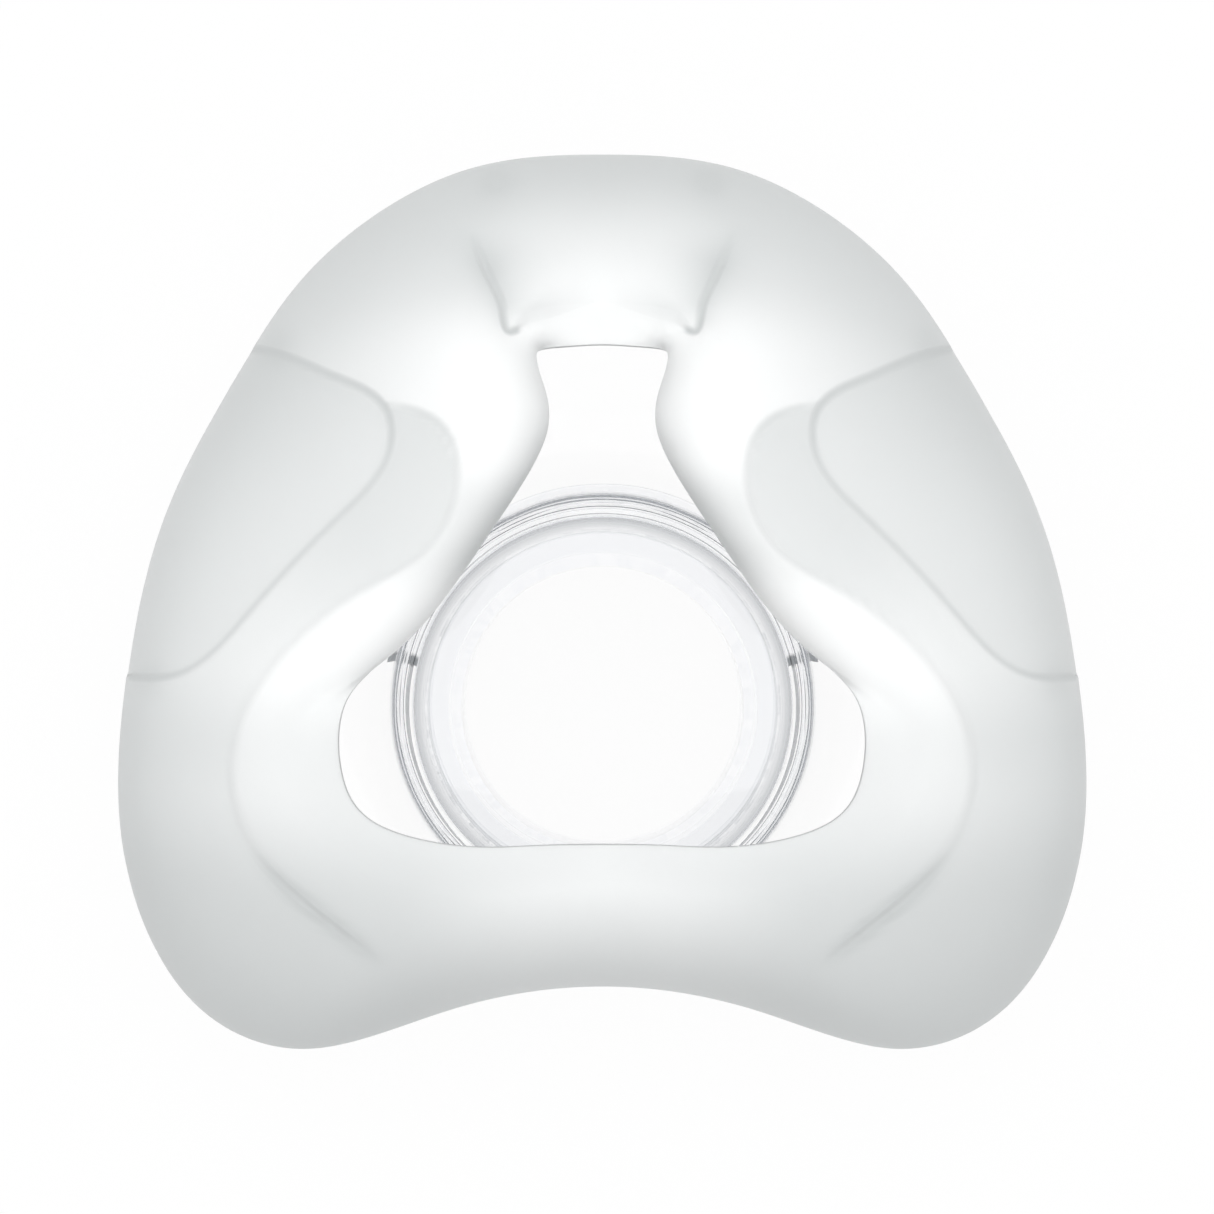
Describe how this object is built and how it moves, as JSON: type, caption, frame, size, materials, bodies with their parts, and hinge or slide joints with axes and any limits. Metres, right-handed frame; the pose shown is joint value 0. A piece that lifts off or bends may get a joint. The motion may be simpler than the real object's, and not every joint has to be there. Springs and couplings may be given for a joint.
{
  "type": "nasal cpap mask cushion",
  "caption": "Clear silicone seal cushion of a nasal breathing mask on its clear round port ring, with a keyhole nose opening.",
  "frame": {"origin": "on the port axis, at the ring's front face, which the part rests on", "axes": "+Z along the port axis towards the wearer's face, +Y towards the nose bridge, +X to the right as the wearer is looked at"},
  "size_m": [0.0826, 0.0781, 0.045],
  "materials": {
    "clear_silicone": "clear moulded silicone, satin on the cheeks",
    "clear_polycarbonate": "clear polished"
  },
  "bodies": {
    "root": {"silicone_cushion": "clear_silicone", "connector_ring": "clear_polycarbonate"}
  },
  "joints": []
}
